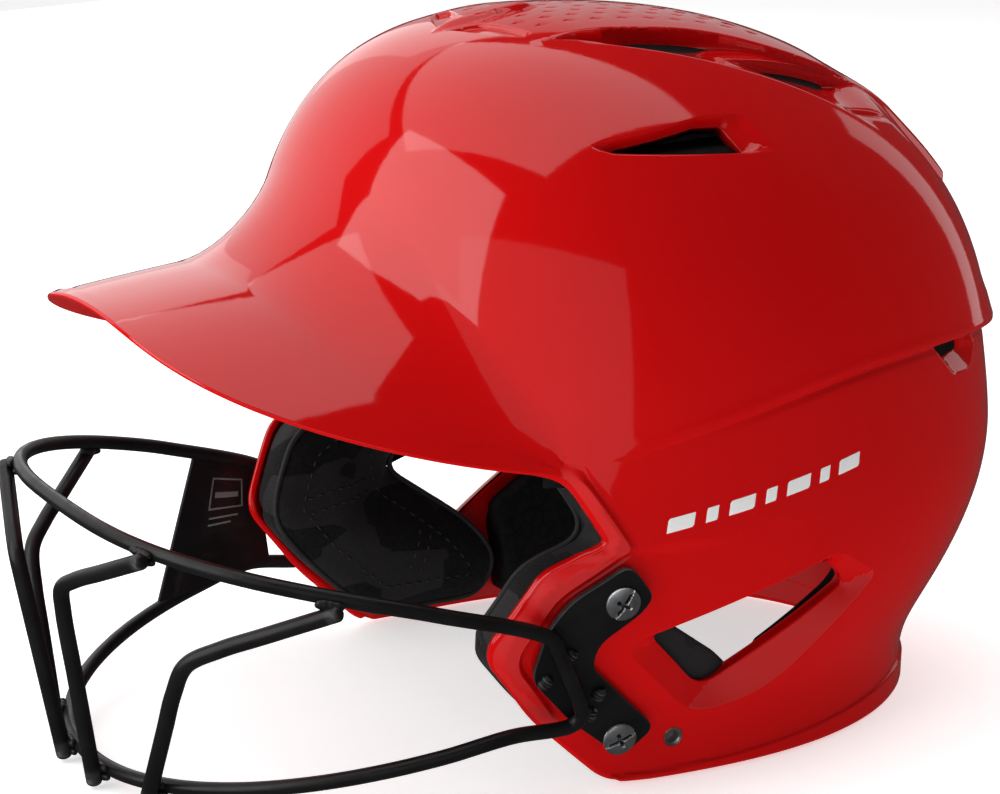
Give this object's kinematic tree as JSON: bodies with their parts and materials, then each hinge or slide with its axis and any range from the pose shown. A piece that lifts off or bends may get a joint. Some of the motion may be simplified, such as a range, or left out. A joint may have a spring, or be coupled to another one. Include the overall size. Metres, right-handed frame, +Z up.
{
  "type": "batting helmet with face guard",
  "caption": "Hard batting helmet with a bill, ear openings and vents, foam liner, fabric pads and a bolted wire face guard.",
  "frame": {"origin": "bottom centre of the helmet's bounding box, on the plane that it stands on", "axes": "+Z up, -Y towards the bill, +X towards the wearer's left"},
  "size_m": [0.2178, 0.3323, 0.2235],
  "materials": {
    "shell": "high-gloss red moulded ABS",
    "foam": "black closed-cell foam skin",
    "pad_fabric": "black knit fabric over soft foam, tone-on-tone print",
    "mask_wire": "semi-gloss black powder coat",
    "mask_plate": "satin black powder coat",
    "screw": "bright zinc-plated steel",
    "nut": "plain steel",
    "insert": "dull plated steel"
  },
  "bodies": {
    "root": {"outer_shell": "shell", "liner_front": "foam", "liner_rear": "foam", "liner_crown": "foam", "liner_side_left": "foam", "liner_side_right": "foam", "liner_flank_left": "foam", "liner_flank_right": "foam", "brow_pad": "pad_fabric", "nape_pad": "pad_fabric", "crown_pad": "pad_fabric", "ear_pad_left": "pad_fabric", "ear_pad_right": "pad_fabric", "mask_loop": "mask_wire", "mask_bar_inner_left": "mask_wire", "mask_bar_inner_right": "mask_wire", "mask_bar_outer_left": "mask_wire", "mask_bar_outer_right": "mask_wire", "mask_plate_left": "mask_plate", "mask_plate_right": "mask_plate", "mask_label_plate": "mask_plate", "screw_left_upper": "screw", "t_nut_left_upper": "nut", "screw_right_upper": "screw", "t_nut_right_upper": "nut", "screw_left_lower": "screw", "t_nut_left_lower": "nut", "screw_right_lower": "screw", "t_nut_right_lower": "nut", "strap_insert_left": "insert", "strap_insert_right": "insert"}
  },
  "joints": []
}
